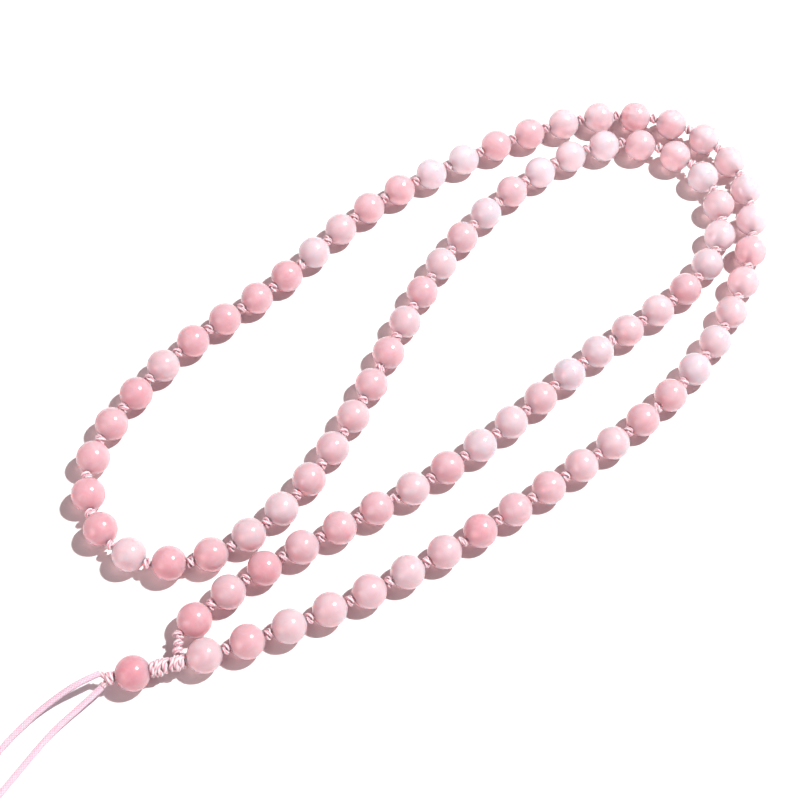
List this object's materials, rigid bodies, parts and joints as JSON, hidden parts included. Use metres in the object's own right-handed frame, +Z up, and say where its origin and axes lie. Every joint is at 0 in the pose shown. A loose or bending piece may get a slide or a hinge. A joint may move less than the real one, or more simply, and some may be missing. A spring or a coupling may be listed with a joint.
{
  "type": "mala prayer beads",
  "caption": "Hand-knotted loop of round cloudy pink stone prayer beads with a guru bead, a snake-knot column and two loose braided cord tails.",
  "frame": {"origin": "on the surface that the beads rest on, under the middle of the box round the loop and its guru end, the tails left out", "axes": "+X runs along the loop towards the bight, away from the guru bead, +Y across it towards the lobe, +Z up"},
  "size_m": [0.3073, 0.098, 0.008],
  "materials": {
    "rose_quartz": "polished, translucent, cloudy",
    "knotted_satin_cord": "satin braid",
    "braided_tail_cord": "satin braid"
  },
  "bodies": {
    "bight": {"bight_cord": "knotted_satin_cord", "bight_beads": "rose_quartz"},
    "guru_leg_middle": {"guru_leg_middle_cord": "knotted_satin_cord", "guru_leg_middle_beads": "rose_quartz"},
    "guru_leg_end": {"guru_leg_end_cord": "knotted_satin_cord", "guru_leg_end_beads": "rose_quartz"},
    "lobe_leg_middle": {"lobe_leg_middle_cord": "knotted_satin_cord", "lobe_leg_middle_beads": "rose_quartz"},
    "lobe": {"lobe_cord": "knotted_satin_cord", "lobe_beads": "rose_quartz"},
    "gathering_knot": {"gathering_knot": "knotted_satin_cord"},
    "guru_end": {"guru_column": "knotted_satin_cord", "end_knot": "knotted_satin_cord"},
    "guru_bead": {"guru_bead": "rose_quartz"},
    "upper_tail": {"upper_tail_cord": "braided_tail_cord", "upper_tail_knot": "braided_tail_cord"},
    "lower_tail": {"lower_tail_cord": "braided_tail_cord", "lower_tail_knot": "braided_tail_cord"},
    "bead_02": {"bead_02": "rose_quartz"},
    "bead_04": {"bead_04": "rose_quartz"},
    "bead_06": {"bead_06": "rose_quartz"},
    "bead_08": {"bead_08": "rose_quartz"},
    "bead_10": {"bead_10": "rose_quartz"},
    "bead_12": {"bead_12": "rose_quartz"},
    "bead_14": {"bead_14": "rose_quartz"},
    "bead_16": {"bead_16": "rose_quartz"},
    "bead_18": {"bead_18": "rose_quartz"},
    "bead_20": {"bead_20": "rose_quartz"},
    "bead_22": {"bead_22": "rose_quartz"},
    "bead_24": {"bead_24": "rose_quartz"},
    "bead_26": {"bead_26": "rose_quartz"},
    "bead_28": {"bead_28": "rose_quartz"},
    "bead_30": {"bead_30": "rose_quartz"},
    "bead_32": {"bead_32": "rose_quartz"},
    "bead_34": {"bead_34": "rose_quartz"},
    "bead_36": {"bead_36": "rose_quartz"},
    "bead_38": {"bead_38": "rose_quartz"},
    "bead_40": {"bead_40": "rose_quartz"},
    "bead_42": {"bead_42": "rose_quartz"},
    "bead_44": {"bead_44": "rose_quartz"},
    "bead_46": {"bead_46": "rose_quartz"},
    "bead_48": {"bead_48": "rose_quartz"},
    "bead_50": {"bead_50": "rose_quartz"},
    "bead_52": {"bead_52": "rose_quartz"},
    "bead_54": {"bead_54": "rose_quartz"},
    "bead_56": {"bead_56": "rose_quartz"},
    "bead_58": {"bead_58": "rose_quartz"},
    "bead_60": {"bead_60": "rose_quartz"},
    "bead_62": {"bead_62": "rose_quartz"},
    "bead_64": {"bead_64": "rose_quartz"},
    "bead_66": {"bead_66": "rose_quartz"},
    "bead_68": {"bead_68": "rose_quartz"},
    "bead_70": {"bead_70": "rose_quartz"},
    "bead_72": {"bead_72": "rose_quartz"},
    "bead_74": {"bead_74": "rose_quartz"},
    "bead_76": {"bead_76": "rose_quartz"},
    "bead_78": {"bead_78": "rose_quartz"},
    "bead_80": {"bead_80": "rose_quartz"},
    "bead_82": {"bead_82": "rose_quartz"},
    "bead_84": {"bead_84": "rose_quartz"}
  },
  "joints": [
    {"name": "guru_leg_fold_1", "type": "hinge", "parent": "bight", "child": "guru_leg_middle", "pos_m": [0.03742, -0.03458, 0.004], "axis": [0.2322, 0.9727, 0], "range_deg": [-60, 60]},
    {"name": "guru_leg_fold_2", "type": "hinge", "parent": "guru_leg_middle", "child": "guru_leg_end", "pos_m": [-0.02611, -0.03215, 0.004], "axis": [-0.2589, 0.9659, 0], "range_deg": [-60, 60]},
    {"name": "lobe_leg_fold_1", "type": "hinge", "parent": "bight", "child": "lobe_leg_middle", "pos_m": [0.04519, 0.03365, 0.004], "axis": [-0.1465, 0.9892, 0], "range_deg": [-60, 60]},
    {"name": "lobe_leg_fold_2", "type": "hinge", "parent": "lobe_leg_middle", "child": "lobe", "pos_m": [-0.00676, 0.02434, 0.004], "axis": [0.1125, 0.9937, 0], "range_deg": [-60, 60]},
    {"name": "guru_swing", "type": "hinge", "parent": "guru_leg_end", "child": "gathering_knot", "pos_m": [-0.09074, -0.02316, 0.004], "axis": [0, 0, 1], "range_deg": [-35, 60]},
    {"name": "guru_fold", "type": "hinge", "parent": "gathering_knot", "child": "guru_end", "pos_m": [-0.09074, -0.02316, 0.004], "axis": [0.454, 0.891, 0], "range_deg": [-60, 60]},
    {"name": "upper_tail_swing", "type": "hinge", "parent": "guru_end", "child": "upper_tail", "pos_m": [-0.10515, -0.0142, 0.0044], "axis": [0, 0, -1], "range_deg": [-5, 60]},
    {"name": "lower_tail_swing", "type": "hinge", "parent": "guru_end", "child": "lower_tail", "pos_m": [-0.10646, -0.01678, 0.0036], "axis": [0, 0, 1], "range_deg": [0, 60]},
    {"name": "guru_bead_spin", "type": "hinge", "parent": "guru_end", "child": "guru_bead", "pos_m": [-0.09963, -0.01863, 0.004], "axis": [-0.891, 0.454, 0], "continuous": true},
    {"name": "bead_02_spin", "type": "hinge", "parent": "guru_leg_end", "child": "bead_02", "pos_m": [-0.07216, -0.01679, 0.004], "axis": [0.9999, -0.0141, 0], "continuous": true},
    {"name": "bead_04_spin", "type": "hinge", "parent": "guru_leg_end", "child": "bead_04", "pos_m": [-0.05269, -0.0188, 0.004], "axis": [0.9859, -0.1673, 0], "continuous": true},
    {"name": "bead_06_spin", "type": "hinge", "parent": "guru_leg_end", "child": "bead_06", "pos_m": [-0.03339, -0.0222, 0.004], "axis": [0.9859, -0.1676, 0], "continuous": true},
    {"name": "bead_08_spin", "type": "hinge", "parent": "guru_leg_middle", "child": "bead_08", "pos_m": [-0.01396, -0.02471, 0.004], "axis": [0.9968, -0.0803, 0], "continuous": true},
    {"name": "bead_10_spin", "type": "hinge", "parent": "guru_leg_middle", "child": "bead_10", "pos_m": [0.00562, -0.0253, 0.004], "axis": [0.9998, 0.0178, 0], "continuous": true},
    {"name": "bead_12_spin", "type": "hinge", "parent": "guru_leg_middle", "child": "bead_12", "pos_m": [0.0252, -0.02447, 0.004], "axis": [0.9989, 0.0477, 0], "continuous": true},
    {"name": "bead_14_spin", "type": "hinge", "parent": "bight", "child": "bead_14", "pos_m": [0.04478, -0.02459, 0.004], "axis": [0.9975, -0.0702, 0], "continuous": true},
    {"name": "bead_16_spin", "type": "hinge", "parent": "bight", "child": "bead_16", "pos_m": [0.06434, -0.02514, 0.004], "axis": [0.9975, 0.0703, 0], "continuous": true},
    {"name": "bead_18_spin", "type": "hinge", "parent": "bight", "child": "bead_18", "pos_m": [0.08264, -0.01916, 0.004], "axis": [0.8231, 0.5678, 0], "continuous": true},
    {"name": "bead_20_spin", "type": "hinge", "parent": "bight", "child": "bead_20", "pos_m": [0.09269, -0.00329, 0.004], "axis": [0.1462, 0.9893, 0], "continuous": true},
    {"name": "bead_22_spin", "type": "hinge", "parent": "bight", "child": "bead_22", "pos_m": [0.0875, 0.01474, 0.004], "axis": [-0.6341, 0.7733, 0], "continuous": true},
    {"name": "bead_24_spin", "type": "hinge", "parent": "bight", "child": "bead_24", "pos_m": [0.07083, 0.02389, 0.004], "axis": [-0.9805, 0.1963, 0], "continuous": true},
    {"name": "bead_26_spin", "type": "hinge", "parent": "bight", "child": "bead_26", "pos_m": [0.05135, 0.02531, 0.004], "axis": [-0.9991, -0.042, 0], "continuous": true},
    {"name": "bead_28_spin", "type": "hinge", "parent": "lobe_leg_middle", "child": "bead_28", "pos_m": [0.03198, 0.0226, 0.004], "axis": [-0.9733, -0.2296, 0], "continuous": true},
    {"name": "bead_30_spin", "type": "hinge", "parent": "lobe_leg_middle", "child": "bead_30", "pos_m": [0.01338, 0.01654, 0.004], "axis": [-0.9236, -0.3834, 0], "continuous": true},
    {"name": "bead_32_spin", "type": "hinge", "parent": "lobe_leg_middle", "child": "bead_32", "pos_m": [-0.00441, 0.00833, 0.004], "axis": [-0.8982, -0.4396, 0], "continuous": true},
    {"name": "bead_34_spin", "type": "hinge", "parent": "lobe", "child": "bead_34", "pos_m": [-0.0222, 0.00011, 0.004], "axis": [-0.9215, -0.3884, 0], "continuous": true},
    {"name": "bead_36_spin", "type": "hinge", "parent": "lobe", "child": "bead_36", "pos_m": [-0.0407, -0.00629, 0.004], "axis": [-0.9675, -0.2528, 0], "continuous": true},
    {"name": "bead_38_spin", "type": "hinge", "parent": "lobe", "child": "bead_38", "pos_m": [-0.06005, -0.00853, 0.004], "axis": [-0.9987, 0.0509, 0], "continuous": true},
    {"name": "bead_40_spin", "type": "hinge", "parent": "lobe", "child": "bead_40", "pos_m": [-0.0782, -0.00249, 0.004], "axis": [-0.7856, 0.6188, 0], "continuous": true},
    {"name": "bead_42_spin", "type": "hinge", "parent": "lobe", "child": "bead_42", "pos_m": [-0.08528, 0.01448, 0.004], "axis": [0.1003, 0.995, 0], "continuous": true},
    {"name": "bead_44_spin", "type": "hinge", "parent": "lobe", "child": "bead_44", "pos_m": [-0.07605, 0.03082, 0.004], "axis": [0.8039, 0.5947, 0], "continuous": true},
    {"name": "bead_46_spin", "type": "hinge", "parent": "lobe", "child": "bead_46", "pos_m": [-0.05823, 0.03853, 0.004], "axis": [0.9642, 0.2652, 0], "continuous": true},
    {"name": "bead_48_spin", "type": "hinge", "parent": "lobe", "child": "bead_48", "pos_m": [-0.03895, 0.04166, 0.004], "axis": [0.9991, 0.0425, 0], "continuous": true},
    {"name": "bead_50_spin", "type": "hinge", "parent": "lobe", "child": "bead_50", "pos_m": [-0.01936, 0.0416, 0.004], "axis": [1, -0.0037, 0], "continuous": true},
    {"name": "bead_52_spin", "type": "hinge", "parent": "lobe_leg_middle", "child": "bead_52", "pos_m": [0.00015, 0.04323, 0.004], "axis": [0.9889, 0.1487, 0], "continuous": true},
    {"name": "bead_54_spin", "type": "hinge", "parent": "lobe_leg_middle", "child": "bead_54", "pos_m": [0.01963, 0.045, 0.004], "axis": [1, -0.0075, 0], "continuous": true},
    {"name": "bead_56_spin", "type": "hinge", "parent": "lobe_leg_middle", "child": "bead_56", "pos_m": [0.0391, 0.04303, 0.004], "axis": [0.9853, -0.1709, 0], "continuous": true},
    {"name": "bead_58_spin", "type": "hinge", "parent": "bight", "child": "bead_58", "pos_m": [0.05829, 0.03908, 0.004], "axis": [0.9713, -0.2377, 0], "continuous": true},
    {"name": "bead_60_spin", "type": "hinge", "parent": "bight", "child": "bead_60", "pos_m": [0.07691, 0.03308, 0.004], "axis": [0.9207, -0.3902, 0], "continuous": true},
    {"name": "bead_62_spin", "type": "hinge", "parent": "bight", "child": "bead_62", "pos_m": [0.09312, 0.0224, 0.004], "axis": [0.6983, -0.7158, 0], "continuous": true},
    {"name": "bead_64_spin", "type": "hinge", "parent": "bight", "child": "bead_64", "pos_m": [0.10187, 0.0054, 0.004], "axis": [0.1491, -0.9888, 0], "continuous": true},
    {"name": "bead_66_spin", "type": "hinge", "parent": "bight", "child": "bead_66", "pos_m": [0.09829, -0.01331, 0.004], "axis": [-0.5016, -0.8651, 0], "continuous": true},
    {"name": "bead_68_spin", "type": "hinge", "parent": "bight", "child": "bead_68", "pos_m": [0.08514, -0.02758, 0.004], "axis": [-0.798, -0.6026, 0], "continuous": true},
    {"name": "bead_70_spin", "type": "hinge", "parent": "bight", "child": "bead_70", "pos_m": [0.0682, -0.0373, 0.004], "axis": [-0.9193, -0.3936, 0], "continuous": true},
    {"name": "bead_72_spin", "type": "hinge", "parent": "bight", "child": "bead_72", "pos_m": [0.04952, -0.04305, 0.004], "axis": [-0.9813, -0.1925, 0], "continuous": true},
    {"name": "bead_74_spin", "type": "hinge", "parent": "guru_leg_middle", "child": "bead_74", "pos_m": [0.03006, -0.045, 0.004], "axis": [-0.9998, -0.0175, 0], "continuous": true},
    {"name": "bead_76_spin", "type": "hinge", "parent": "guru_leg_middle", "child": "bead_76", "pos_m": [0.01047, -0.04449, 0.004], "axis": [-0.9983, 0.0582, 0], "continuous": true},
    {"name": "bead_78_spin", "type": "hinge", "parent": "guru_leg_middle", "child": "bead_78", "pos_m": [-0.00906, -0.04294, 0.004], "axis": [-0.995, 0.0999, 0], "continuous": true},
    {"name": "bead_80_spin", "type": "hinge", "parent": "guru_leg_end", "child": "bead_80", "pos_m": [-0.02852, -0.04056, 0.004], "axis": [-0.9893, 0.1456, 0], "continuous": true},
    {"name": "bead_82_spin", "type": "hinge", "parent": "guru_leg_end", "child": "bead_82", "pos_m": [-0.04779, -0.03703, 0.004], "axis": [-0.9761, 0.2172, 0], "continuous": true},
    {"name": "bead_84_spin", "type": "hinge", "parent": "guru_leg_end", "child": "bead_84", "pos_m": [-0.06672, -0.032, 0.004], "axis": [-0.9551, 0.2964, 0], "continuous": true}
  ]
}
